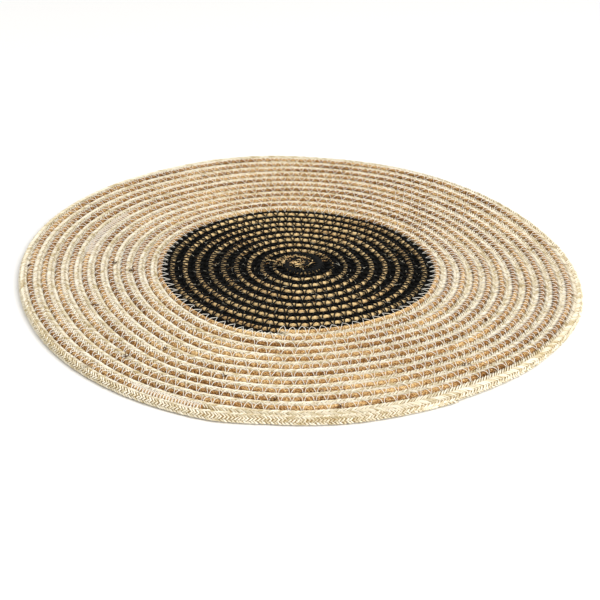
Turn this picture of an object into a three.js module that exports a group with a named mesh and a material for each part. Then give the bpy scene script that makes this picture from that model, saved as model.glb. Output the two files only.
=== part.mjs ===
// A round placemat wound from two strips laid side by side: a flat jute braid, black in the
// middle and cream outside it, and a thin natural jute cord between the braid's turns.
// Millimetres, +Z up. The mat lies on z = 0, and the origin is under the middle of its outline.
// Both strips run anticlockwise outwards, seen from above. A place along them is given as a
// turn: turn 0 is where cream takes over from black, negative turns lie inside it.

import * as THREE from 'three';
import { mergeVertices } from 'three/addons/utils/BufferGeometryUtils.js';

// Driving dimensions
const cordWidth = 3.2;
const cordHeight = 6.5;
const braidHeight = 5.9;
const seamGap = 0.3;
const shoulderShare = 0.68; // of the braid's height, where its sides start to slope in
const topInset = 0.22; // of a strip's width, on each side of its flat top

const winding = {
  pole: { x: -0.71, y: 2.67 }, // where the winding starts, and where directions are measured from
  joinDirection: 265, // degrees anticlockwise from +X, where turn 0 is
  joinRadius: 88.4,
  darkPitch: 8.63, // cord to cord in the black turns
  palePitch: 8.33, // cord to cord in the first cream turn
  paleWidening: 0.043, // each cream turn is wider than the last by twice this
  rimRadius: 183,
};

const ends = {
  cordStart: -10.05,
  cordEnd: 10.975,
  blackStart: -10.55, // folded in beside the start of the cord
  spliceStart: -0.05, // black and cream lie side by side, cut on the slant, up to turn 0
  creamEnd: 11.1,
};

// How far the turns stand out beyond an even spiral, towards each direction in degrees: at the
// edge of the dark middle, halfway from there to the rim, and at the rim.
const unevenness = [
  { toward: 5, middle: 2.5, half: 1.5, rim: 0.5 },
  { toward: 25, middle: 0.5, half: -2, rim: -2.5 },
  { toward: 45, middle: -0.5, half: -3.5, rim: -2 },
  { toward: 65, middle: -3.5, half: -2.5, rim: -1 },
  { toward: 85, middle: -4.5, half: -3, rim: -3 },
  { toward: 105, middle: -3.5, half: -4, rim: -2 },
  { toward: 125, middle: -3.5, half: -5, rim: -4 },
  { toward: 145, middle: -2, half: -3, rim: -3 },
  { toward: 165, middle: -0.5, half: -1.5, rim: -2.5 },
  { toward: 185, middle: 0, half: -1.5, rim: -2.5 },
  { toward: 205, middle: 1, half: -1, rim: -1 },
  { toward: 225, middle: 1.5, half: 2.5, rim: 3 },
  { toward: 245, middle: 2.5, half: 8, rim: 6.5 },
  { toward: 265, middle: 4, half: 5.5, rim: 7 },
  { toward: 285, middle: 1, half: 0, rim: 2 },
  { toward: 305, middle: 0, half: 0, rim: -1.5 },
  { toward: 325, middle: 1, half: 3.5, rim: 1 },
  { toward: 345, middle: 2, half: 4, rim: 3.5 },
];

// The braid's width on the rim, where no cord lies outside it. It ends as a thin tail that
// is laid along its own last turn.
const rimWidths = [
  { turn: 9.975, width: 5 },
  { turn: 10, width: 5.6 },
  { turn: 10.05, width: 7.6 },
  { turn: 10.1, width: 10 },
  { turn: 10.2, width: 7.4 },
  { turn: 10.45, width: 7.8 },
  { turn: 10.55, width: 9.2 },
  { turn: 10.7, width: 6.6 },
  { turn: 10.85, width: 5.2 },
  { turn: 10.975, width: 4.2 },
  { turn: 11.04, width: 4 },
  { turn: 11.1, width: 0.9 },
];

const tipShare = 0.2; // what is left of a braid's width where it is cut on the slant

const stationsPerTurn = { fine: 40, coarse: 20 };
const fineFrom = -4; // turns nearer the middle than this have the coarse stations

const finishes = {
  blackJute: { color: 0x191813, roughness: 0.95, metalness: 0 },
  creamJute: { color: 0xe9dcbc, roughness: 0.92, metalness: 0 },
  naturalJute: { color: 0xb8834a, roughness: 0.9, metalness: 0 },
};

function mix(a, b, share) {
  return a + (b - a) * share;
}

// A smooth closed curve through one column of the unevenness table.
function unevennessAt(direction, column) {
  const count = unevenness.length;
  const place = (direction - unevenness[0].toward) / (360 / count);
  const row = Math.floor(place);
  const share = place - row;
  const value = (k) => unevenness[(((row + k) % count) + count) % count][column];
  const curve = new THREE.CatmullRomCurve3(
    [-1, 0, 1, 2].map((k) => new THREE.Vector3(k, value(k), 0)),
    false,
    'catmullrom',
    0.5,
  );
  return curve.getPoint((1 + share) / 3).y;
}

// A smooth rise or fall through the rim width table.
function rimWidthAt(turn) {
  const next = rimWidths.findIndex((row) => row.turn >= turn);
  if (next <= 0) {
    return next === 0 ? rimWidths[0].width : rimWidths[rimWidths.length - 1].width;
  }
  const from = rimWidths[next - 1];
  const to = rimWidths[next];
  const share = (turn - from.turn) / (to.turn - from.turn);
  return mix(from.width, to.width, THREE.MathUtils.smoothstep(share, 0, 1));
}

function directionAt(turn) {
  return winding.joinDirection + 360 * turn;
}

// Distance from the pole to the middle of the cord.
function cordRadius(turn) {
  const direction = directionAt(turn);
  const middle = unevennessAt(direction, 'middle');
  if (turn < 0) {
    const even = winding.joinRadius + winding.darkPitch * turn;
    return even + middle * (even / winding.joinRadius);
  }
  const half = unevennessAt(direction, 'half');
  const rim = unevennessAt(direction, 'rim');
  const even = winding.joinRadius + winding.palePitch * turn + winding.paleWidening * turn ** 2;
  const share = (even - winding.joinRadius) / (winding.rimRadius - winding.joinRadius);
  return even + mix(mix(middle, half, 2 * share), mix(half, rim, 2 * share - 1), share);
}

// The inner and outer edge of each strip at a turn, measured from the pole.
function cordEdges(turn) {
  const middle = cordRadius(turn);
  return [middle - cordWidth / 2, middle + cordWidth / 2];
}

function braidRoom(turn) {
  const besideCord = turn >= ends.cordStart;
  const inner = besideCord ? cordEdges(turn)[1] + seamGap : seamGap;
  if (turn > rimWidths[0].turn) {
    return [inner, inner + rimWidthAt(turn)];
  }
  return [inner, cordEdges(turn + 1)[0] - seamGap];
}

function blackEdges(turn) {
  const [inner, outer] = braidRoom(turn);
  const cut = 1 - turn / ends.spliceStart;
  return [inner, mix(inner, outer, cut < 0 ? 1 : mix(1 - tipShare, tipShare, cut))];
}

function creamEdges(turn) {
  if (turn <= 0) {
    return [blackEdges(turn)[1] + seamGap, braidRoom(turn)[1]];
  }
  if (turn <= ends.cordEnd) {
    return braidRoom(turn);
  }
  const inner = braidRoom(turn - 1)[1] + seamGap;
  return [inner, inner + rimWidthAt(turn)];
}

// A section is drawn from the strip's inner edge, x = 0, to its outer edge, x = 1.
function section(points) {
  return new THREE.Shape(points.map(([x, y]) => new THREE.Vector2(x, y)));
}

const braidSection = section([
  [0, 0],
  [1, 0],
  [1, braidHeight * shoulderShare],
  [1 - topInset, braidHeight],
  [topInset, braidHeight],
  [0, braidHeight * shoulderShare],
]);

const cordSection = section([
  [0, 0],
  [1, 0],
  [1 - topInset, cordHeight],
  [topInset, cordHeight],
]);

function stationsBetween(start, end) {
  const stations = [start];
  let turn = start;
  while (turn < end - 1e-6) {
    const perTurn = turn < fineFrom ? stationsPerTurn.coarse : stationsPerTurn.fine;
    turn = Math.min(end, (Math.floor(turn * perTurn + 1e-6) + 1) / perTurn);
    stations.push(turn);
  }
  return stations;
}

// Extrudes the section straight, one step a station, and winds the result round the pole.
function windStrip(shape, start, end, edgesAt) {
  const stations = stationsBetween(start, end);
  const steps = stations.length - 1;
  const straight = new THREE.ExtrudeGeometry(shape, { depth: steps, steps, bevelEnabled: false });
  const places = stations.map((turn) => {
    const angle = THREE.MathUtils.degToRad(directionAt(turn));
    return { angle, edges: edgesAt(turn) };
  });
  const position = straight.getAttribute('position');
  for (let i = 0; i < position.count; i += 1) {
    const place = places[steps - Math.round(position.getZ(i))];
    const radius = mix(place.edges[0], place.edges[1], position.getX(i));
    const x = winding.pole.x + radius * Math.cos(place.angle);
    const y = winding.pole.y + radius * Math.sin(place.angle);
    position.setXYZ(i, x, y, position.getY(i));
  }
  straight.deleteAttribute('normal');
  straight.deleteAttribute('uv');
  const wound = mergeVertices(straight, 1e-4);
  wound.computeVertexNormals();
  return wound;
}

function addPiece(group, name, geometry, finish) {
  const mesh = new THREE.Mesh(geometry, new THREE.MeshStandardMaterial(finish));
  mesh.name = name;
  group.add(mesh);
}

const placemat = new THREE.Group();

// Black braid: the dark middle
const blackBraid = windStrip(braidSection, ends.blackStart, 0, blackEdges);
addPiece(placemat, 'black_braid', blackBraid, finishes.blackJute);

// Cream braid: the pale ring and the rim
const creamBraid = windStrip(braidSection, ends.spliceStart, ends.creamEnd, creamEdges);
addPiece(placemat, 'cream_braid', creamBraid, finishes.creamJute);

// Natural jute cord: between the turns, from the middle to just before the braid's end
const juteCord = windStrip(cordSection, ends.cordStart, ends.cordEnd, cordEdges);
addPiece(placemat, 'jute_cord', juteCord, finishes.naturalJute);

export default placemat;
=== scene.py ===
import math

import bpy
import numpy as np
from mathutils import Matrix, Vector


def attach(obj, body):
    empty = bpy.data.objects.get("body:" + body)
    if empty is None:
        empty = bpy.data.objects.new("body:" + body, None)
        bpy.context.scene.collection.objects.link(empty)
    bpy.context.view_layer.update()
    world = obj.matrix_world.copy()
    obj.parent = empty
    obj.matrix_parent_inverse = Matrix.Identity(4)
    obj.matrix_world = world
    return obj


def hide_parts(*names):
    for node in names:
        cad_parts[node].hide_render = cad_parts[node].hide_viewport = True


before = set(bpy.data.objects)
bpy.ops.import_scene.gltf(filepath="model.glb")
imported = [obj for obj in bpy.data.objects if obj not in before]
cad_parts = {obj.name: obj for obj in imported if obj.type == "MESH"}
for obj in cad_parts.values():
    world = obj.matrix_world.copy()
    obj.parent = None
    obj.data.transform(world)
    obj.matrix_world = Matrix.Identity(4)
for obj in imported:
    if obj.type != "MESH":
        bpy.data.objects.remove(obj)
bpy.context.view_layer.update()        # black_braid, cream_braid and jute_cord, all on the body root
bpy.ops.object.select_all(action="DESELECT")
dice = np.random.default_rng(7)
mm = 0.001

# How the mat is wound, in millimetres. Turn 0 is where cream takes over from black.
winding = {
    "pole": (-0.71, 2.67),         # where the winding starts
    "joinToward": 265.0,           # degrees anticlockwise from +X, where turn 0 is
    "joinRadius": 88.4,
    "darkPitch": 8.63,             # cord to cord in the black turns
    "palePitch": 8.33,             # cord to cord in the first cream turn
    "paleWidening": 0.043,
    "rimRadius": 183.0,
    "cordWidth": 3.2,
    "seamGap": 0.3,
    "firstToward": 5.0,            # the three rows below go round in equal steps from here
    "middleUneven": (2.5, 0.5, -0.5, -3.5, -4.5, -3.5, -3.5, -2, -0.5, 0, 1, 1.5, 2.5, 4, 1, 0, 1, 2),
    "halfUneven": (1.5, -2, -3.5, -2.5, -3, -4, -5, -3, -1.5, -1.5, -1, 2.5, 8, 5.5, 0, 0, 3.5, 4),
    "rimUneven": (0.5, -2.5, -2, -1, -3, -2, -4, -3, -2.5, -2.5, -1, 3, 6.5, 7, 2, -1.5, 1, 3.5),
    "rimTurns": (9.975, 10, 10.05, 10.1, 10.2, 10.45, 10.55, 10.7, 10.85, 10.975, 11.04, 11.1),
    "rimWidths": (5, 5.6, 7.6, 10, 7.4, 7.8, 9.2, 6.6, 5.2, 4.2, 4, 0.9),
    "cordStart": -10.05,
    "cordEnd": 10.975,
    "cordShows": 10.97,            # the cord's last fibres are tucked in before its end
    "blackStart": -10.55,
    "spliceStart": -0.05,
    "creamEnd": 11.1,
    "stepIn": 0.025,               # the tail closes in on the turn inside it over this
    "tipShare": 0.2,
}


def mix(a, b, share):
    return a + (b - a) * share


# A smooth closed curve through one row of the unevenness.
def unevenness(row, toward):
    values = np.array(row, float)
    place = (toward - winding["firstToward"]) / (360 / len(row))
    index = np.floor(place).astype(int)
    share = place - index
    before, here, after, beyond = (values[(index + k) % len(row)] for k in (-1, 0, 1, 2))
    leave = 0.5 * (after - before)
    arrive = 0.5 * (beyond - here)
    rise = after - here
    bend = (3 * rise - 2 * leave - arrive) * share**2
    return here + leave * share + bend + (leave + arrive - 2 * rise) * share**3


def cordRadius(turn):
    toward = winding["joinToward"] + 360 * turn
    middle, half, rim = (unevenness(winding[row], toward)
                         for row in ("middleUneven", "halfUneven", "rimUneven"))
    join = winding["joinRadius"]
    dark = join + winding["darkPitch"] * turn
    pale = join + winding["palePitch"] * turn + winding["paleWidening"] * turn**2
    share = (pale - join) / (winding["rimRadius"] - join)
    standsOut = mix(mix(middle, half, 2 * share), mix(half, rim, 2 * share - 1), share)
    return np.where(turn < 0, dark + middle * dark / join, pale + standsOut)


def rimWidth(turn):
    turns = np.array(winding["rimTurns"])
    widths = np.array(winding["rimWidths"])
    row = np.clip(np.searchsorted(turns, turn), 1, len(turns) - 1)
    share = np.clip((turn - turns[row - 1]) / (turns[row] - turns[row - 1]), 0, 1)
    return mix(widths[row - 1], widths[row], share * share * (3 - 2 * share))


def cordEdges(turn):
    middle = cordRadius(turn)
    return middle - winding["cordWidth"] / 2, middle + winding["cordWidth"] / 2


def braidRoom(turn):
    gap = winding["seamGap"]
    inner = np.where(turn >= winding["cordStart"], cordEdges(turn)[1] + gap, gap)
    atRim = turn > winding["rimTurns"][0]
    return inner, np.where(atRim, inner + rimWidth(turn), cordEdges(turn + 1)[0] - gap)


def blackEdges(turn):
    inner, outer = braidRoom(turn)
    cut = np.clip(1 - turn / winding["spliceStart"], 0, 1)
    tip = winding["tipShare"]
    share = np.where(turn < winding["spliceStart"], 1, mix(1 - tip, tip, cut))
    return inner, mix(inner, outer, share)


def creamEdges(turn):
    inner, outer = braidRoom(turn)
    besideBlack = blackEdges(np.minimum(turn, 0))[1] + winding["seamGap"]
    inner = np.where(turn <= 0, besideBlack, inner)
    tailInner = braidRoom(turn - 1)[1] + winding["seamGap"]
    onTail = np.clip((turn - winding["cordEnd"]) / winding["stepIn"], 0, 1)
    return mix(inner, tailInner, onTail), mix(outer, tailInner + rimWidth(turn), onTail)


def measure(edges, start, end):
    turns = np.linspace(start, end, int((end - start) * 720) + 2)
    inner, outer = edges(turns)
    steps = np.diff(turns) * 2 * math.pi * (inner + outer)[1:] / 2
    return turns, np.concatenate([[0], np.cumsum(steps)])


def polar(turn, radius, height):
    angle = np.radians(winding["joinToward"] + 360 * turn)
    x = winding["pole"][0] + radius * np.cos(angle)
    y = winding["pole"][1] + radius * np.sin(angle)
    return np.stack([x, y, np.maximum(height, 0.02)], axis=-1) * mm


# The braid spreads over the cord's flanks, and on the rim its strokes stay inside its edge.
def trimmedEdges(edges, turn):
    inner, outer = edges(turn)
    inner = inner - np.interp(turn, braid["innerSpreadAt"], braid["innerSpread"])
    outer = outer + np.interp(turn, braid["outerSpreadAt"], braid["outerSpread"])
    return inner, np.maximum(outer, inner + braid["leastWidth"])


# How far the edge of a rounded square lies from its middle, where its sides lie 1 away.
def squareReach(cos, sin, power):
    return (np.abs(cos)**power + np.abs(sin)**power)**(-1 / power)


# Round a strip there are eight spans: 0 is its outer side, 2 its top, 4 its inner side and
# 6 its underside.
def onStrip(edges, turn, span, lift, tall, power=3.2):
    inner, outer = trimmedEdges(edges, turn)
    half = (outer - inner) / 2
    angle = np.radians(45 * span)
    cos, sin = np.cos(angle), np.sin(angle)
    reach = squareReach(cos, sin, power)
    across = np.sign(cos) * np.abs(reach * cos)**(power - 1) / half
    up = np.sign(sin) * np.abs(reach * sin)**(power - 1) / tall
    size = np.hypot(across, up)
    radius = (inner + outer) / 2 + half * reach * cos + lift * across / size
    return polar(turn, radius, braid["height"] / 2 + tall * reach * sin + lift * up / size)


# Meshes are gathered as arrays of points, faces, texture places and tones, and made once.
def newHeap():
    labels = ("points", "tris", "quads", "triUv", "quadUv", "tone", "shade")
    return {"count": 0, **{label: [] for label in labels}}


def addToHeap(heap, points, tris, quads, triUv, quadUv, tone, shade=None):
    heap["points"].append(points)
    heap["tris"].append(tris + heap["count"])
    heap["quads"].append(quads + heap["count"])
    heap["triUv"].append(triUv)
    heap["quadUv"].append(quadUv)
    heap["tone"].append(tone)
    heap["shade"].append(np.zeros(len(points)) if shade is None else shade)
    heap["count"] += len(points)


def addCopies(heap, shape, points, uvShift, uvScale, tone):
    copies, each = points.shape[:2]
    first = (np.arange(copies) * each)[:, None, None]
    tris = (first + shape["tris"]).reshape(-1, 3)
    quads = (first + shape["quads"]).reshape(-1, 4)
    shift = uvShift[:, None, None, :]
    triUv = (shift + shape["triUv"] * uvScale).reshape(-1, 3, 2)
    quadUv = (shift + shape["quadUv"] * uvScale).reshape(-1, 4, 2)
    addToHeap(heap, points.reshape(-1, 3), tris, quads, triUv, quadUv, np.repeat(tone, each))


# One value for each ring point, and one for each of the two points that close a tube.
def onTubePoints(values, atEnds):
    tubes = len(values)
    return np.concatenate([values.reshape(tubes, -1), np.full((tubes, 2), atEnds)], axis=1).reshape(-1)


# Rings of points become closed tubes: (tubes, rings, sides, xyz).
def addTubes(heap, rings, along, girth, tone, shade=None, outward=True):
    tubes, stations, sides = rings.shape[:3]
    ends = rings[:, [0, -1]].mean(axis=2)
    points = np.concatenate([rings.reshape(tubes, -1, 3), ends], axis=1)
    each = stations * sides + 2
    i, j = np.meshgrid(np.arange(stations - 1), np.arange(sides), indexing="ij")
    here, there = i * sides, (i + 1) * sides
    k = (j + 1) % sides
    quads = np.stack([here + j, there + j, there + k, here + k], -1).reshape(-1, 4)
    a, b = np.arange(sides), (np.arange(sides) + 1) % sides
    last = (stations - 1) * sides
    startCap = np.stack([np.full(sides, each - 2), a, b], -1)
    endCap = np.stack([np.full(sides, each - 1), last + b, last + a], -1)
    tris = np.concatenate([startCap, endCap])
    near, far = along[:, i], along[:, i + 1]
    low = np.broadcast_to(j * girth / sides, near.shape)
    high = low + girth / sides
    corners = [np.stack(corner, -1) for corner in ((near, low), (far, low), (far, high), (near, high))]
    quadUv = np.stack(corners, -2)
    if not outward:
        quads, tris, quadUv = quads[:, ::-1], tris[:, ::-1], quadUv[..., ::-1, :]
    first = (np.arange(tubes) * each)[:, None, None]
    if shade is not None:
        shade = onTubePoints(shade, 0)
    tone = onTubePoints(tone, 0.5) if np.ndim(tone) > 1 else np.repeat(tone, each)
    addToHeap(heap, points.reshape(-1, 3), (first + tris).reshape(-1, 3), (first + quads).reshape(-1, 4),
              np.zeros((tubes * len(tris), 3, 2)), quadUv.reshape(-1, 4, 2), tone, shade)


def makePiece(name, heap, material, replaced=()):
    points = np.concatenate(heap["points"])
    tris, quads = np.concatenate(heap["tris"]), np.concatenate(heap["quads"])
    mesh = bpy.data.meshes.new(name)
    mesh.from_pydata(points.tolist(), [], tris.tolist() + quads.tolist())
    corners = [np.concatenate(heap[label]).reshape(-1, 2) for label in ("triUv", "quadUv")]
    uv = np.concatenate(corners).astype(np.float32)
    mesh.uv_layers.new(name="strandUv").data.foreach_set("uv", uv.ravel())
    for label in ("tone", "shade"):
        values = np.concatenate(heap[label]).astype(np.float32)
        mesh.attributes.new(label, "FLOAT", "POINT").data.foreach_set("value", values)
    mesh.shade_smooth()
    mesh.materials.append(material)
    piece = bpy.data.objects.new(name, mesh)
    bpy.context.scene.collection.objects.link(piece)
    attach(piece, "root")
    if replaced:
        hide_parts(*replaced)
    print(f"{name}: {len(tris) + 2 * len(quads)} triangles")
    return piece


def linear(hexColour):
    parts = [int(hexColour[i:i + 2], 16) / 255 for i in (1, 3, 5)]
    return [p / 12.92 if p <= 0.04045 else ((p + 0.055) / 1.055)**2.4 for p in parts] + [1.0]


def addNode(tree, kind, settings=None, inputs=None, links=None):
    node = tree.nodes.new(kind)
    for key, value in (settings or {}).items():
        setattr(node, key, value)
    for key, value in (inputs or {}).items():
        node.inputs[key].default_value = value
    for key, socket in (links or {}).items():
        tree.links.new(socket, node.inputs[key])
    return node


# Fibres run along the strand, as streaks fibreWidth wide and fibreLength long, and flecks of
# bark and paler fibre are fleck long: all in millimetres.
def yarnMaterial(name, look):
    material = bpy.data.materials.new(name)
    material.use_nodes = True
    tree = material.node_tree
    tree.nodes.clear()
    place = addNode(tree, "ShaderNodeUVMap", {"uv_map": "strandUv"})
    size = (1 / look["fibreLength"], 1 / look["fibreWidth"], 1)
    streaks = addNode(tree, "ShaderNodeMapping", inputs={"Scale": size, "Rotation": (0, 0, look["twist"])},
                      links={"Vector": place.outputs["UV"]})
    fibres = addNode(tree, "ShaderNodeTexNoise", inputs={"Scale": 1.0, "Detail": 3.0, "Roughness": 0.6},
                     links={"Vector": streaks.outputs["Vector"]})
    size = (1 / look["fleck"], 1.6 / look["fleck"], 1)
    patches = addNode(tree, "ShaderNodeMapping", inputs={"Scale": size},
                      links={"Vector": place.outputs["UV"]})
    flecks = addNode(tree, "ShaderNodeTexNoise", inputs={"Scale": 1.0, "Detail": 1.0, "Roughness": 0.5},
                     links={"Vector": patches.outputs["Vector"]})
    tone = addNode(tree, "ShaderNodeAttribute", {"attribute_name": "tone"})
    shade = addNode(tree, "ShaderNodeAttribute", {"attribute_name": "shade"})
    fleckShift = addNode(tree, "ShaderNodeMath", {"operation": "MULTIPLY_ADD"},
                         inputs={1: look["fleckShare"], 2: -0.5 * look["fleckShare"]},
                         links={0: flecks.outputs["Fac"]})
    toneShift = addNode(tree, "ShaderNodeMath", {"operation": "MULTIPLY_ADD"},
                        inputs={1: look["toneShare"], 2: -0.5 * look["toneShare"]},
                        links={0: tone.outputs["Fac"]})
    shifts = addNode(tree, "ShaderNodeMath", {"operation": "ADD"},
                     links={0: fleckShift.outputs[0], 1: toneShift.outputs[0]})
    level = addNode(tree, "ShaderNodeMath", {"operation": "ADD", "use_clamp": True},
                    links={0: fibres.outputs["Fac"], 1: shifts.outputs[0]})
    ramp = addNode(tree, "ShaderNodeValToRGB", links={"Fac": level.outputs[0]})
    colours = look["colours"]
    ramp.color_ramp.elements[0].position, ramp.color_ramp.elements[1].position = look["spread"]
    ramp.color_ramp.elements[0].color = linear(colours[0])
    ramp.color_ramp.elements[1].color = linear(colours[-1])
    middle = ramp.color_ramp.elements.new(sum(look["spread"]) / 2)
    middle.color = linear(colours[1])
    # Painted shade: where the shade attribute is high, the colour goes towards a darker one that stands in
    # for the shade in hollows and gaps.
    paintedShadeColour = addNode(tree, "ShaderNodeMix", {"data_type": "RGBA"}, inputs={7: linear(look["paintedShadeColour"])},
                   links={0: shade.outputs["Fac"], 6: ramp.outputs["Color"]})
    bump = addNode(tree, "ShaderNodeBump", inputs={"Strength": look["bump"], "Distance": 0.2 * mm},
                   links={"Height": fibres.outputs["Fac"]})
    surface = addNode(tree, "ShaderNodeBsdfPrincipled",
                      inputs={"Roughness": look["roughness"], "IOR": 1.5,
                              "Specular IOR Level": look["specular"],
                              "Sheen Weight": look["sheen"], "Sheen Roughness": 0.5},
                      links={"Base Color": paintedShadeColour.outputs[2], "Normal": bump.outputs["Normal"]})
    addNode(tree, "ShaderNodeOutputMaterial", links={"Surface": surface.outputs["BSDF"]})
    return material


# Each look also gives a darker colour that is painted shade. It is mixed in where the meshes mark hollows,
# gaps and flanks.
# Jute braid dyed black: matt and nearly lost in shade, with grey-green fibre ends.
dyedJute = yarnMaterial("dyedJute", {
    "colours": ("#040404", "#0b0b0a", "#20201c"), "paintedShadeColour": "#020202",
    "spread": (0.3, 0.78), "toneShare": 0.35,
    "fibreWidth": 0.35, "fibreLength": 4.0, "twist": 0.12, "fleck": 2.0, "fleckShare": 0.3,
    "bump": 0.6, "roughness": 0.85, "specular": 0.08, "sheen": 0.0,
})

# Bleached jute braid: warm cream strands with straw-coloured streaks, dull, a little hairy.
bleachedJute = yarnMaterial("bleachedJute", {
    "colours": ("#bfa979", "#dfd2b2", "#f7efdb"), "paintedShadeColour": "#8f7138",
    "spread": (0.22, 0.62), "toneShare": 0.5,
    "fibreWidth": 0.4, "fibreLength": 5.0, "twist": 0.12, "fleck": 1.6, "fleckShare": 0.5,
    "bump": 0.6, "roughness": 0.85, "specular": 0.2, "sheen": 0.05,
})

# Natural jute cord, retted and loosely twisted: golden brown, mottled, with dark bark flecks.
rawJute = yarnMaterial("rawJute", {
    "colours": ("#4f2f0c", "#a8702f", "#f2d297"), "paintedShadeColour": "#38230a",
    "spread": (0.3, 0.74), "toneShare": 0.4,
    "fibreWidth": 0.45, "fibreLength": 2.4, "twist": 0.6, "fleck": 1.0, "fleckShare": 1.5,
    "bump": 0.9, "roughness": 0.85, "specular": 0.25, "sheen": 0.05,
})

# Spun sewing thread, white: smooth and tight, brighter than the braid that it holds.
whiteCotton = yarnMaterial("whiteCotton", {
    "colours": ("#f4ecdb", "#fbf5e8", "#fffdf6"), "paintedShadeColour": "#cfc7b4",
    "spread": (0.3, 0.7), "toneShare": 0.2,
    "fibreWidth": 0.2, "fibreLength": 0.8, "twist": 0.5, "fleck": 3.0, "fleckShare": 0.1,
    "bump": 0.2, "roughness": 0.6, "specular": 0.4, "sheen": 0.05,
})

# Spun sewing thread, black: smooth, with a faint grey gleam.
blackCotton = yarnMaterial("blackCotton", {
    "colours": ("#060606", "#0c0c0b", "#1c1c19"), "paintedShadeColour": "#040404",
    "spread": (0.3, 0.7), "toneShare": 0.2,
    "fibreWidth": 0.2, "fibreLength": 0.8, "twist": 0.5, "fleck": 3.0, "fleckShare": 0.1,
    "bump": 0.2, "roughness": 0.7, "specular": 0.12, "sheen": 0.0,
})
print("materials ready")

# The braid: yarns that show as slanting strokes, in columns that lean to and fro.
braid = {
    "height": 5.9,
    "spacing": 2.2,                # stroke to stroke along the braid
    "underSpacing": 3.6,
    "lean": 42.0,                  # degrees from the braid's own direction
    "overlap": 1.25,               # a stroke's length, in column widths
    "strokeWidth": 1.15,
    "strokeHeight": 1.2,
    "drop": 0.55,                  # its ends dive by this share of half its height
    "coreDepth": 0.36,             # the body under the strokes
    "topColumns": (1, 2),          # spans where columns start
    "rimColumns": (-1, 0),
    "underColumns": (5, 6),
    "rimFrom": 10.08,              # the rim's side shows from here on
    "innerSpreadAt": (10.968, 10.976, 11.0),
    "innerSpread": (0.9, 2.34, 1.3),               # over the cord, then over the turn beside the tail
    "outerSpreadAt": (9.968, 9.976, 10.0, 10.085, 10.1),
    "outerSpread": (0.9, 2.34, 1.3, 1.3, -0.45),   # over the cord, under the tail, then the bare rim
    "leastWidth": 0.9,
    "columnShare": 0.87,           # a column's width, in halves of the braid's width
    "fullSpan": 1.7,               # where a column is narrower, its strokes are smaller
    "sideSpan": 0.8,
    "strandSize": (6.0, 3.6),      # a stroke's yarn, along and round it
    "coreStep": 4.5,
    "coreStops": 1.5,              # before the braid's end
}


# One stroke of the braid, lying along X, with its ends bent down.
def makeStroke(sides, rings):
    bpy.ops.mesh.primitive_uv_sphere_add(segments=sides, ring_count=rings, radius=1)
    stroke = bpy.context.object
    bpy.ops.object.mode_set(mode="EDIT")
    bpy.ops.mesh.select_all(action="SELECT")
    bpy.ops.transform.rotate(value=math.pi / 2, orient_axis="Y", center_override=(0, 0, 0))
    bpy.ops.object.mode_set(mode="OBJECT")
    mesh = stroke.data
    points = np.array([v.co for v in mesh.vertices])
    points[:, 2] -= braid["drop"] * points[:, 0]**2
    uvData = mesh.uv_layers.active.data
    faces = sorted(mesh.polygons, key=lambda p: list(p.vertices))    # their order varies from run to run
    shape = {"points": points}
    for label, corners in (("tri", 3), ("quad", 4)):
        polygons = [p for p in faces if len(p.vertices) == corners]
        shape[label + "s"] = np.array([list(p.vertices) for p in polygons]).reshape(-1, corners)
        places = [[[uvData[i].uv[1], uvData[i].uv[0]] for i in p.loop_indices] for p in polygons]
        shape[label + "Uv"] = np.array(places).reshape(-1, corners, 2)
    bpy.data.objects.remove(stroke)
    return shape


fineStroke = makeStroke(5, 4)
plainStroke = makeStroke(4, 3)


def layStrokes(heap, shape, spacing, edges, start, end, column, forwardOut, phase):
    turns, length = measure(edges, start, end)
    count = int(length[-1] / spacing)
    if count < 1:
        return
    at = (np.arange(count) + 0.5 + phase + dice.uniform(-0.12, 0.12, count)) * spacing
    turn = np.interp(at, length, turns)[:, None]
    inner, outer = trimmedEdges(edges, turn)
    half = (outer - inner) / 2
    tall = braid["height"] / 2 - braid["strokeHeight"] / 2
    onSide = column in braid["rimColumns"]
    spanSize = braid["columnShare"] * (tall + 0 * half if onSide else half)
    fullSize = braid["sideSpan"] if onSide else braid["fullSpan"]
    fit = np.clip(braid["columnShare"] * half / fullSize, 0.3, 1)
    lean = np.radians(braid["lean"] + dice.normal(0, 2.5, (count, 1)))
    sign = -1 if forwardOut else 1
    x, y, z = shape["points"].T
    along = x * braid["overlap"] * spanSize / np.sin(lean) / 2
    width = fit * braid["strokeWidth"] / 2 * dice.uniform(0.78, 1.12, (count, 1))
    side = y * width * spacing / braid["spacing"]
    ahead = along * np.cos(lean) - sign * side * np.sin(lean)
    sideways = sign * along * np.sin(lean) + side * np.cos(lean)
    lift = fit * (z * braid["strokeHeight"] / 2 + dice.normal(0, 0.08, (count, 1)))
    place = np.clip(turn + ahead / (math.pi * (inner + outer)), start, end)
    span = column + 0.5 + sideways / spanSize
    if column not in braid["topColumns"]:
        span = np.clip(span, column - 0.1, column + 1.1)
    points = onStrip(edges, place, span, lift, tall)
    patch = 0.5 + 0.28 * np.sin(at / 31 + column) + 0.22 * np.sin(at / 7.3 + 2 * column)
    tone = np.clip(mix(patch, dice.uniform(0, 1, count), 0.7), 0, 1)
    shift = dice.uniform(0, 400, (count, 2))
    addCopies(heap, shape, points, shift, np.array(braid["strandSize"]), tone)


def addCore(heap, edges, start, end):
    turns, length = measure(edges, start, end)
    at = np.linspace(0, length[-1] - braid["coreStops"], int(length[-1] / braid["coreStep"]) + 2)
    turn = np.interp(at, length, turns)[:, None]
    span = np.arange(8)[None, :] * np.ones_like(turn)
    tall = braid["height"] / 2 - braid["strokeHeight"] / 2
    rings = onStrip(edges, turn, span, -braid["coreDepth"], tall)
    # Painted shade: the body under the strokes is darkened nearly all the way to the painted shade colour,
    # for the shade in the gaps between strokes.
    shade = np.full((1, len(at), 8), 0.9)
    addTubes(heap, rings[None], at[None], 18.0, np.array([0.4]), shade, outward=False)


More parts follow.
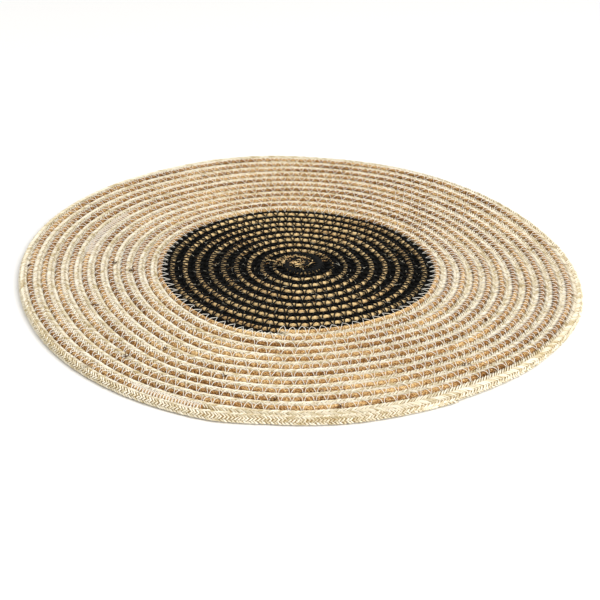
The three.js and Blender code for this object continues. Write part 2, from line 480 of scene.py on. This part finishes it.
def layBraid(name, edges, start, end, material, replaced):
    heap = newHeap()
    addCore(heap, edges, start, end)
    for column in braid["topColumns"]:
        layStrokes(heap, fineStroke, braid["spacing"], edges, start, end, column, column == 1,
                   0.5 * column)
    for column in braid["underColumns"]:
        layStrokes(heap, plainStroke, braid["underSpacing"], edges, start, end, column, column == 5,
                   0.5 * column)
    rimStart = max(start, braid["rimFrom"] - 0.01)
    if end > rimStart:
        for column in braid["rimColumns"]:
            layStrokes(heap, fineStroke, braid["spacing"], edges, rimStart, end, column, column == -1,
                       0.5 * column)
    return makePiece(name, heap, material, (replaced,))


layBraid("blackBraid", blackEdges, winding["blackStart"], 0.0, dyedJute, "black_braid")
for part, start, end in (("Inner", winding["spliceStart"], 4.6), ("Middle", 4.6, 8.3),
                         ("Rim", 8.3, winding["creamEnd"])):
    layBraid("creamBraid" + part, creamEdges, start, end, bleachedJute, "cream_braid")

# The zigzag seam that holds the cord: from its outer edge in over the braid beside it.
seam = {
    "paleHoles": (3.1, -4.3),      # from the cord's middle, outwards: the outer ones are hidden
    "darkHoles": (4.5, -4.2),
    "overBlack": 1.1,              # the white stitches reach farther in over the last black turn
    "darkPeriod": 6.6,             # hole to hole along the cord
    "palePeriod": 7.0,
    "whiteWidth": 0.38,
    "blackWidth": 0.95,
    "legShares": (0.0, 0.19, 0.31, 0.55),          # from the outer hole to the inner one
    "legHeights": (4.6, 6.05, 6.9, 6.93, 6.05),
    "wander": 0.22,
    "crowded": ((-10.0, -8.4, 2.3), (6.685, 6.76, 2.4), (10.93, 10.971, 2.0)),  # from, to, period
}


def seamTable():
    turns, length = measure(cordEdges, winding["cordStart"], winding["cordShows"])
    period = np.where(turns < 0, seam["darkPeriod"], seam["palePeriod"])
    period = period * (1 + 0.12 * np.sin(length / 57) + 0.09 * np.sin(length / 23 + 1))
    for first, last, close in seam["crowded"]:
        period = np.where((turns > first) & (turns < last), close, period)
    return turns, length, np.concatenate([[0], np.cumsum(np.diff(length) / period[1:])])


seamTurns, seamLength, seamPhase = seamTable()
periods = int(seamPhase[-1])

# The cord: a loose twist of jute, pinched where the thread crosses it.
cord = {
    "halfWidth": 1.78,
    "centreHeight": 3.3,
    "tall": 3.35,
    "spans": (0.1, 0.9, 1.6, 2.4, 3.1, 3.9, 5.0, 7.0),
    "stationsPerPeriod": 6,
    "whitePinch": 0.2,
    "blackPinch": 0.5,
    "pinchReach": 0.5,
    "power": 3.0,
    "lowerAt": (-9.0, -5.0, -0.1, 0.0),            # the cord lies lower between the black turns
    "lowerBy": (0.7, 0.45, 0.3, 0.0),
    "thinAt": (-10.05, -8.6, -7.6, -6.6, -5.5),    # and is thin where it starts
    "thinTo": (0.6, 0.62, 0.68, 0.8, 1.0),
    "goldenAt": (-0.1, 0.0, 0.9, 1.3),             # its pale fibres show most in the dark middle
    "goldenBy": (0.7, 0.2, 0.15, 0.0),
}


def layCord(name, first, last, replaced):
    steps = cord["stationsPerPeriod"]
    phase = np.arange(first * steps, last * steps + 1) / steps
    turn = np.interp(phase, seamPhase, seamTurns)[:, None]
    at = np.interp(phase, seamPhase, seamLength)[:, None]
    angle = np.radians(45 * np.array(cord["spans"]))[None, :]
    cos, sin = np.cos(angle), np.sin(angle)
    reach = squareReach(cos, sin, cord["power"])
    swell = 1 + 0.07 * np.sin(at / 19) + 0.06 * np.sin(at / 8.3 + 2) + dice.normal(0, 0.03, at.shape)
    swell = swell * np.interp(turn, cord["thinAt"], cord["thinTo"])
    across = cord["halfWidth"] * swell * reach * cos
    wave = np.abs(2 * (phase[:, None] % 1) - 1)          # 1 at an outer hole, 0 at an inner one
    holeOut, holeIn = (np.where(turn < 0, seam["darkHoles"][k], seam["paleHoles"][k]) for k in (0, 1))
    threadAt = mix(holeIn, holeOut, wave)
    slope = 2 * (holeOut - holeIn) / seam["palePeriod"]
    distance = np.abs(across - threadAt) / np.hypot(1, slope)
    pinch = np.exp(-(distance / cord["pinchReach"])**2)
    dark = turn < 0
    depth = np.where(dark, cord["blackPinch"], cord["whitePinch"])
    rough = dice.normal(0, 0.12, across.shape)
    top = sin > 0
    tall = cord["tall"] - np.interp(turn, cord["lowerAt"], cord["lowerBy"])
    height = cord["centreHeight"] + tall * reach * sin
    height = height - np.where(top, depth * pinch - 0.06, -0.3 * pinch) + rough
    wander = 0.2 * np.sin(at / 13.7) + 0.15 * np.sin(at / 5.1 + 1)
    rings = polar(turn + 0 * across, cordRadius(turn) + across + 0.8 * rough + wander, height)
    # Painted shade: the cord is darkened where the thread pinches it, most in the black turns, and on its
    # flanks beside the braid, for the shade in these hollows.
    flank = np.clip((np.abs(across) / cord["halfWidth"] - 0.6) / 0.4, 0, 1)
    shade = np.clip(np.where(dark, 0.85, 0.3) * pinch + 0.45 * flank, 0, 0.9)
    patch = 0.5 + 0.2 * np.sin(at / 41) + 0.18 * np.sin(at / 11 + 1) + dice.normal(0, 0.2, across.shape)
    golden = np.interp(turn, cord["goldenAt"], cord["goldenBy"])
    tone = np.clip(patch * 0.8 + 0.1 + golden, -0.3, 1.8)
    heap = newHeap()
    addTubes(heap, rings[None], at.T, 16.0, tone[None], shade[None], outward=False)
    return makePiece(name, heap, rawJute, (replaced,))


cordSplit = int(periods * 0.55)
layCord("juteCordInner", 0, cordSplit, "jute_cord")
layCord("juteCordOuter", cordSplit, periods, "jute_cord")


def tubesAlong(paths, radius, sides):
    ahead = np.gradient(paths, axis=1)
    ahead /= np.linalg.norm(ahead, axis=-1, keepdims=True) + 1e-12
    right = np.cross(ahead, [0, 0, 1.0])
    right /= np.linalg.norm(right, axis=-1, keepdims=True) + 1e-12
    above = np.cross(right, ahead)
    angle = np.arange(sides) / sides * 2 * math.pi + math.pi / 4
    spokes = right[:, :, None] * np.cos(angle)[:, None] + above[:, :, None] * np.sin(angle)[:, None]
    return paths[:, :, None] + spokes * radius[..., None, None]


def layThread(name, first, last, holes, width, material):
    heap = newHeap()
    shares = np.array(seam["legShares"])
    leg = np.arange(first * 2, last * 2)
    leaving = (leg % 2 == 0)[:, None]                       # from an outer hole inwards
    share = np.where(leaving, shares, np.concatenate([[1.0], shares[:0:-1]]))
    heights = np.array(seam["legHeights"])
    height = np.where(leaving, heights[:-1], heights[:0:-1])
    travel = np.where(leaving, share, 1 - share)
    phase = (leg[:, None] + travel) / 2
    holeOut = np.repeat(holes[0] + dice.normal(0, seam["wander"], last - first), 2)[:, None]
    holeIn = np.repeat(holes[1] + dice.normal(0, 1.6 * seam["wander"], last - first), 2)[:, None]
    beside = np.interp((leg[:, None] + 1) / 2, seamPhase, seamTurns)
    holeIn = holeIn - seam["overBlack"] * ((beside > 0) & (beside < 1))
    across = mix(holeOut, holeIn, share)
    phase = phase + dice.normal(0, 0.02, phase.shape)
    turn = np.interp(phase, seamPhase, seamTurns)
    at = np.interp(phase, seamPhase, seamLength)
    radius = cordRadius(turn) + across
    paths = polar(turn, radius, height + dice.normal(0, 0.03, height.shape)).reshape(1, -1, 3)
    thick = np.full((1, paths.shape[1]), width / 2 * mm)
    addTubes(heap, tubesAlong(paths, thick, 4), at.reshape(1, -1), 1.6, np.array([0.5]))
    low = np.full(height[:, ::2].shape, width / 2)          # pressed flat to the underside
    under = polar(turn[:, ::2], radius[:, ::2], low).reshape(1, -1, 3)
    thick = np.full((1, under.shape[1]), width / 2 * mm)
    addTubes(heap, tubesAlong(under, thick, 3), at[:, ::2].reshape(1, -1), 1.6, np.array([0.5]))
    return makePiece(name, heap, material)


whiteFrom = int(np.interp(0.0, seamTurns, seamPhase))
layThread("blackThread", 1, whiteFrom, seam["darkHoles"], seam["blackWidth"],
          blackCotton)
layThread("whiteThread", whiteFrom, periods, seam["paleHoles"], seam["whiteWidth"],
          whiteCotton)

# Loose fibres: short hairs that lie over the strips and stand off the rim.
fuzz = {
    "sides": 3,
    "creamCount": 1100,
    "juteCount": 800,
    "paleCount": 450,              # pale dust and fibre ends that cling to the black braid
    "rimCount": 260,
    "thickness": (0.10, 0.22),
    "length": (1.6, 5.0),
}


# Each hair bends once: from its root, sideways by bow, to its tip.
def addHairs(heap, turn, radius, height, heading, length, tipLift, thickness, tone):
    count = len(turn)
    bow = dice.normal(0, 0.25, count) * length
    share = np.array([0.0, 0.5, 1.0])
    ahead = share * length[:, None] * np.cos(heading)[:, None]
    out = share * length[:, None] * np.sin(heading)[:, None] + 4 * share * (1 - share) * bow[:, None]
    r = radius[:, None] + out
    t = turn[:, None] + ahead / (2 * math.pi * np.maximum(r, 4))
    z = height[:, None] + share**2 * tipLift[:, None]
    paths = polar(t, r, z)
    thick = thickness[:, None] / 2 * np.array([1.0, 0.9, 0.45]) * mm
    rings = tubesAlong(paths, thick, fuzz["sides"])
    along = share * length[:, None] + dice.uniform(0, 90, (count, 1))
    addTubes(heap, rings, along, 0.6, tone)


def scatterHairs(name, count, start, end, acrossRange, height, material):
    heap = newHeap()
    innerRadius, outerRadius = cordRadius(np.array([start, end], float))
    radius = np.sqrt(dice.uniform(innerRadius**2, outerRadius**2, count))
    table = np.linspace(start, end, 400)
    turn = np.interp(radius, np.maximum.accumulate(cordRadius(table)), table)
    turn = np.clip(turn + dice.uniform(-0.5, 0.5, count), start, end)
    across = dice.uniform(*acrossRange, count)
    heading = dice.normal(0, 0.9, count) + math.pi * dice.integers(0, 2, count)
    length = dice.uniform(*fuzz["length"], count)
    thickness = dice.uniform(*fuzz["thickness"], count)
    lift = np.abs(dice.normal(0, 0.35, count))
    place = cordRadius(turn) + across
    addHairs(heap, turn, place, height + dice.uniform(-0.1, 0.2, count), heading, length, lift,
             thickness, dice.uniform(0.1, 0.9, count))
    return makePiece(name, heap, material)


scatterHairs("creamFibres", fuzz["creamCount"], 0.0, 10.9, (2.2, 6.2), 5.95, bleachedJute)
scatterHairs("juteFibres", fuzz["juteCount"], -7.0, 10.9, (-2.6, 2.6), 6.6, rawJute)
scatterHairs("paleDust", fuzz["paleCount"], -8.5, 0.0, (2.0, 7.0), 5.95, bleachedJute)


def layRimHairs():
    heap = newHeap()
    count = fuzz["rimCount"]
    turn = dice.uniform(10.02, 11.0, count)
    outer = creamEdges(turn)[1]
    heading = dice.uniform(0.1, 3.0, count)
    length = dice.uniform(1.0, 2.6, count)
    height = dice.uniform(0.6, 5.2, count)
    addHairs(heap, turn, outer - 0.5, height, heading, length, dice.normal(0, 0.4, count),
             dice.uniform(0.08, 0.16, count), dice.uniform(0.2, 0.9, count))
    return makePiece("rimFibres", heap, bleachedJute)


layRimHairs()

# Dark knots of bark on the cord, and a few long fibres that have worked loose.
marks = {
    "knots": ((185.3, 182.0), (184.3, 125.6), (189.4, 113.6), (232, 167), (266, 175), (279, 182),
              (309, 164), (254, 156), (207.4, 146.9), (236.5, 145.9), (52, 150), (118, 158), (330, 139)),
    "knotFibres": 7,
    "strays": ((192.5, 163.0, -80, 5.5), (60, 121, 70, 6.0), (66, 124, 95, 5.0), (350, 186, -60, 6.0),
               (4, 184, -70, 7.0), (12, 185, -55, 6.5), (140, 168, 30, 6.0), (292, 143, 20, 5.5)),
}


# A place given as degrees and distance from the pole becomes the nearest turn there.
def turnAt(toward, radius):
    turns = (toward - winding["joinToward"]) / 360 + np.arange(-10, 12)
    return turns[np.argmin(np.abs(cordRadius(turns) - radius))]


def layMarks():
    heap = newHeap()
    for toward, radius in marks["knots"]:
        count = marks["knotFibres"]
        turn = np.full(count, turnAt(toward, radius)) + dice.normal(0, 0.0012, count)
        place = radius + dice.normal(0, 0.7, count)
        addHairs(heap, turn, place, dice.uniform(6.5, 7.0, count), dice.uniform(0, 2 * math.pi, count),
                 dice.uniform(1.2, 2.8, count), dice.uniform(0, 0.5, count), dice.uniform(0.4, 0.8, count),
                 np.full(count, -1.2))
    for toward, radius, heading, length in marks["strays"]:
        addHairs(heap, np.array([turnAt(toward, radius)]), np.array([float(radius)]), np.array([6.9]),
                 np.radians([float(heading)]), np.array([length]), np.array([-0.3]), np.array([0.45]),
                 np.array([0.3]))
    return makePiece("barkAndStrays", heap, rawJute)


layMarks()

# The very middle: the cord's start is sewn down in a tangle of jute and black fibre.
tangle = {
    "juteCount": 110,
    "jutePlace": (-3.0, 3.0),      # from the pole, in millimetres
    "juteSpread": (6.5, 3.5),
    "blackCount": 260,
    "blackPlace": (3.0, 0.0),
    "blackSpread": (9.45, 6.72),
    "juteHeight": 6.4,
    "blackHeight": 6.3,
    "thickness": (0.3, 0.8),
    "juteTones": (0.4, 1.6),
    "blackTones": (0.0, 0.8),
}


def layTangle(name, count, centre, spread, height, tones, material):
    heap = newHeap()
    x = centre[0] + dice.normal(0, spread[0], count)
    y = centre[1] + dice.normal(0, spread[1], count)
    heading = dice.uniform(0, 2 * math.pi, count)
    length = dice.uniform(2.0, 6.0, count)
    share = np.array([0.0, 0.35, 0.7, 1.0])
    turned = heading[:, None] + share * dice.normal(0, 1.2, count)[:, None]
    step = length[:, None] * share
    px = winding["pole"][0] + x[:, None] + step * np.cos(turned)
    py = winding["pole"][1] + y[:, None] + step * np.sin(turned)
    pz = height + dice.normal(0, 0.25, count)[:, None] + 0.5 * share * (1 - share)
    paths = np.stack([px, py, pz], -1) * mm
    thickness = dice.uniform(*tangle["thickness"], count)[:, None]
    thick = thickness / 2 * np.array([0.7, 1.0, 0.9, 0.4]) * mm
    along = step + dice.uniform(0, 90, (count, 1))
    addTubes(heap, tubesAlong(paths, thick, 4), along, 1.5, dice.uniform(*tones, count))
    return makePiece(name, heap, material)


layTangle("juteTangle", tangle["juteCount"], tangle["jutePlace"], tangle["juteSpread"],
          tangle["juteHeight"], tangle["juteTones"], rawJute)
layTangle("blackTangle", tangle["blackCount"], tangle["blackPlace"], tangle["blackSpread"],
          tangle["blackHeight"], tangle["blackTones"], dyedJute)

# Floor, light and camera
studio = {
    "floorSize": 40.0,
    "floorColour": "#f4f3f1",
    "keyPlace": (0.85, -0.92, 1.2),
    "keySize": 1.3,
    "keyPower": 29.0,
    "fillPlace": (-1.2, 0.4, 1.3),
    "fillSize": 1.6,
    "fillPower": 4.5,
    "skyColour": "#ffffff",
    "skyStrength": 0.7,
}


def plainMaterial(name, colour):
    material = bpy.data.materials.new(name)
    material.use_nodes = True
    surface = material.node_tree.nodes["Principled BSDF"]
    surface.inputs["Base Color"].default_value = linear(colour)
    surface.inputs["Roughness"].default_value = 0.9
    return material


bpy.ops.mesh.primitive_plane_add(size=studio["floorSize"], location=(0, 0, 0))
floor = bpy.context.object
floor.name = "floor"
floor.data.materials.append(plainMaterial("paperFloor", studio["floorColour"]))


def addLight(name, place, size, power):
    light = bpy.data.lights.new(name, "AREA")
    light.size = size
    light.energy = power
    lamp = bpy.data.objects.new(name, light)
    lamp.location = place
    lamp.rotation_euler = (-Vector(place)).to_track_quat("-Z", "Y").to_euler()
    bpy.context.scene.collection.objects.link(lamp)


addLight("keyLight", studio["keyPlace"], studio["keySize"], studio["keyPower"])
addLight("fillLight", studio["fillPlace"], studio["fillSize"], studio["fillPower"])
sky = bpy.data.worlds.new("studioSky")
sky.use_nodes = True
sky.node_tree.nodes["Background"].inputs["Color"].default_value = linear(studio["skyColour"])
sky.node_tree.nodes["Background"].inputs["Strength"].default_value = studio["skyStrength"]
bpy.context.scene.world = sky
bpy.context.scene.view_settings.view_transform = "Standard"

view = {
    "target": (0.13, -37.05, 0.0),   # millimetres, at the middle of the picture
    "distance": 1057.9,
    "elevation": 28.32,
    "roll": 2.07,
    "lens": 96.39,
}


def addCamera():
    elevation, roll = math.radians(view["elevation"]), math.radians(view["roll"])
    back = Vector((0, -math.cos(elevation), math.sin(elevation)))
    up = Vector((0, math.sin(elevation), math.cos(elevation)))
    right = Vector((1, 0, 0))
    turned = Matrix((math.cos(roll) * right + math.sin(roll) * up,
                     math.cos(roll) * up - math.sin(roll) * right, back)).transposed()
    place = (Vector(view["target"]) + back * view["distance"]) * mm
    lens = bpy.data.cameras.new("photoCamera")
    lens.lens = view["lens"]
    lens.sensor_width = 36
    camera = bpy.data.objects.new("photoCamera", lens)
    camera.matrix_world = Matrix.Translation(place) @ turned.to_4x4()
    bpy.context.scene.collection.objects.link(camera)
    bpy.context.scene.camera = camera


addCamera()
print("floor, lights and camera ready")
